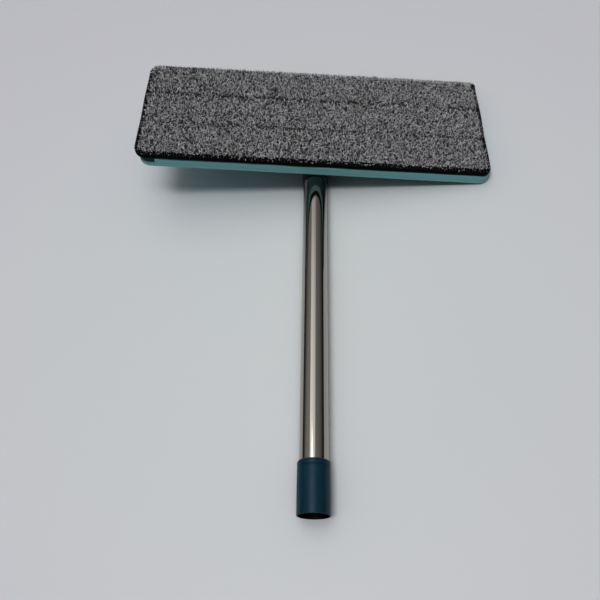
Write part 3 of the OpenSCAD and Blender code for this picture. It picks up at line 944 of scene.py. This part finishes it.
# %% [markdown]
# ## The hooks of the tape
# Hook tape is a woven strip with thousands of tiny nylon hooks, which show when the pad is peeled
# off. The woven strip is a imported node. The hooks are grown on both strips at once, in rows, each
# turned a little differently, and they are just tall enough to meet the pad's backing.

# %% Grow the hooks
def hook_tree(material):
    tree, given, out = geometry_tree("tape_hooks", {
        "Length": 288 * MM, "Width": 20 * MM, "Gap": 1.6 * MM, "Apart": 60 * MM, "Height": 0.46 * MM,
        "Thread": 0.16 * MM, "Top": 27.6 * MM, "Material": material})
    grid = even_grid(tree, given, (("Length", "Gap"), ("Width", "Gap")))
    strips = add(tree, "GeometryNodeJoinGeometry", -600)
    for side in (-0.5, 0.5):
        shift = add(tree, "GeometryNodeTransform", -800)
        tree.links.new(grid, shift.inputs["Geometry"])
        away = calc(tree, "MULTIPLY", given["Apart"], side)
        feed(tree, vector(tree, 0.0, away, given["Top"]), shift.inputs["Translation"])
        tree.links.new(shift.outputs["Geometry"], strips.inputs[0])
    height = given["Height"]
    up, over, down = (calc(tree, "MULTIPLY", height, share) for share in (1.4, 0.75, 0.45))
    points = [(0.0, 0.0, 0.0), (0.0, 0.0, up), (over, 0.0, up), (over, 0.0, down)]
    plant = add(tree, "GeometryNodeInstanceOnPoints", 300)
    tree.links.new(strips.outputs[0], plant.inputs["Points"])
    tree.links.new(strand(tree, points, given["Thread"], 3, 4, 0.2), plant.inputs["Instance"])
    turn = chance(tree, "FLOAT_VECTOR", (0.0, 0.0, -0.5), (0.0, 0.0, 0.5), LEAN_SEED)
    tree.links.new(turn, plant.inputs["Rotation"])
    finish_tree(tree, plant.outputs["Instances"], given["Material"], out)
    return tree


STRIPS_MIDDLE = (strip_low.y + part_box("hook_strip_far")[1].y) / 2


def between_strips(x, y, z):
    return Vector((x, y + STRIPS_MIDDLE, z))


hook_field = grow("hook_field", hook_tree(hook_tape), between_strips, top=strip_high.z)
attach(hook_field, "head")
print("hooks", len(hook_field.data.polygons), "faces")

# %% [markdown]
# ## The table top
# The table is a plain pale laminate. Its colour drifts very slightly, and it is painted a little
# bluer away from the tool, a painted tint of the light. Its gloss is low, so that it shows a soft
# shadow and no hard reflection.

# %% Table finish
LIGHT_TINT_CENTRE = (-0.02, 0.20, 0)
LIGHT_TINT_REACH = (0.08, 0.40)       # metres from that centre at which the painted bluer tint of the light starts and is full


def pale_laminate():
    material, tree, shader = new_material("pale_laminate", (0.77, 0.785, 0.81), 0.6)
    drift = noise_in(tree, object_coords(tree), 2.2, 2.0)
    mottled = mix_colours(tree, drift, (0.752, 0.778, 0.795), (0.778, 0.806, 0.818))
    far = add(tree, "ShaderNodeVectorMath", -1000, operation="DISTANCE")
    tree.links.new(object_coords(tree), far.inputs[0])
    far.inputs[1].default_value = LIGHT_TINT_CENTRE
    # Painted light: the colour turns bluer away from the tool, a painted tint of the light around it.
    bluer = remap(tree, far.outputs["Value"], *LIGHT_TINT_REACH, 0.0, 1.0)
    tree.links.new(mix_colours(tree, bluer, mottled, (0.762, 0.765, 0.805)), shader.inputs["Base Color"])
    speck = noise_in(tree, object_coords(tree), 900.0, 3.0)
    tree.links.new(remap(tree, speck, 0.3, 0.7, 0.56, 0.66), shader.inputs["Roughness"])
    bump(tree, shader, speck, 0.00002)
    return material


table.data.materials.append(pale_laminate())

# %% [markdown]
# ## Light
# The tool lies in a room with a long ceiling lamp to the left and in front, which gives the shadow
# its direction and a soft edge. A weaker lamp to the right softens the other side, and a dim panel
# over the head fills in. A steel tube mostly shows its surroundings, so the world matters as much:
# it is dark near the horizon, which gives the tube its dark edges, brighter higher up and to the
# left, and has a bright band beyond the head that runs along the tube as a streak. It is turned with
# the table.

# %% Lamp, panel and world
def panel_light(name, place, aim, width, depth, watts, colour):
    """An area light at one point of the room, facing another; both are given along the table."""
    data = bpy.data.lights.new(name, "AREA")
    data.shape = "RECTANGLE"
    data.size, data.size_y = width, depth
    data.energy = watts
    data.color = colour
    light = bpy.data.objects.new(name, data)
    start, end = on_table(*place), on_table(*aim)
    light.matrix_world = (Matrix.Translation(start) @
                          (start - end).to_track_quat("Z", "Y").to_matrix().to_4x4())
    bpy.context.collection.objects.link(light)


LAMP_HEIGHT, PANEL_HEIGHT = 4.0, 2.2
HEAD_AHEAD = 0.3                # from the origin to the head
AIM_AHEAD = 2.8                 # from under a ceiling lamp to the spot it faces


def ceiling_light(name, slant_x, slant_y, width, depth, watts, colour):
    """A lamp facing down and ahead, set back from the head by a slant for each metre of height."""
    x, y = slant_x * LAMP_HEIGHT, HEAD_AHEAD + slant_y * LAMP_HEIGHT
    panel_light(name, (x, y, LAMP_HEIGHT), (x, y + AIM_AHEAD, 0), width, depth, watts, colour)


ceiling_light("lamp", -0.125, -0.30, 1.65, 0.7, 55.5, (1.0, 0.99, 0.98))
ceiling_light("side_lamp", 0.24, -0.34, 1.2, 0.9, 15.0, (1.0, 0.98, 0.99))
panel_light("soft_panel", (-0.07, 0.26, PANEL_HEIGHT), (-0.07, 1.2, 0), 1.33, 1.02, 5.6, (0.97, 1.0, 0.98))


BAND_ACROSS = [(-0.50, 0.0), (-0.44, 1.1), (0.22, 0.7), (0.34, 0.0)]
BAND_AHEAD = [(0.0, 0.0), (0.3, 0.95), (0.65, 0.62), (0.95, 0.25), (1.2, 0.0)]
LEFT_GAIN = [(-0.8, 2.0), (-0.3, 1.6), (0.1, 1.3)]
GLOW_BY_HEIGHT = [(0.0, 0.02), (0.2, 0.05), (0.5, 0.18), (0.8, 0.26), (1.0, 0.30)]


def ranged(tree, value, points):
    """A run of values through (input, output) points, as a sum of remaps."""
    result = points[0][1]
    for (low, start), (high, stop) in zip(points, points[1:]):
        step = remap(tree, value, low, high, 0.0, stop - start)
        result = calc(tree, "ADD", result, step)
    return result


def room_light():
    """A world that is dark low down, brighter higher up and left, with a bright band ahead."""
    world = bpy.data.worlds.new("studio_room")
    world.use_nodes = True
    tree = world.node_tree
    coords = add(tree, "ShaderNodeTexCoord", -1000)
    turned = add(tree, "ShaderNodeMapping", -800)
    turned.inputs["Rotation"].default_value = (0, TABLE_TILT, 0)
    tree.links.new(coords.outputs["Generated"], turned.inputs["Vector"])
    axes = add(tree, "ShaderNodeSeparateXYZ", -600)
    tree.links.new(turned.outputs["Vector"], axes.inputs[0])
    rise = calc(tree, "MAXIMUM", axes.outputs["Z"], 0.02)
    aside = calc(tree, "DIVIDE", axes.outputs["X"], rise)
    ahead = calc(tree, "DIVIDE", axes.outputs["Y"], rise)
    band = calc(tree, "MULTIPLY", ranged(tree, aside, BAND_ACROSS), ranged(tree, ahead, BAND_AHEAD))
    base = calc(tree, "MULTIPLY", ranged(tree, axes.outputs["X"], LEFT_GAIN),
                ranged(tree, axes.outputs["Z"], GLOW_BY_HEIGHT))
    glow = calc(tree, "ADD", base, band)
    colour = add(tree, "ShaderNodeCombineColor", -200)
    for socket in colour.inputs:
        tree.links.new(glow, socket)
    tree.links.new(colour.outputs["Color"], tree.nodes["Background"].inputs["Color"])
    bpy.context.scene.world = world


room_light()
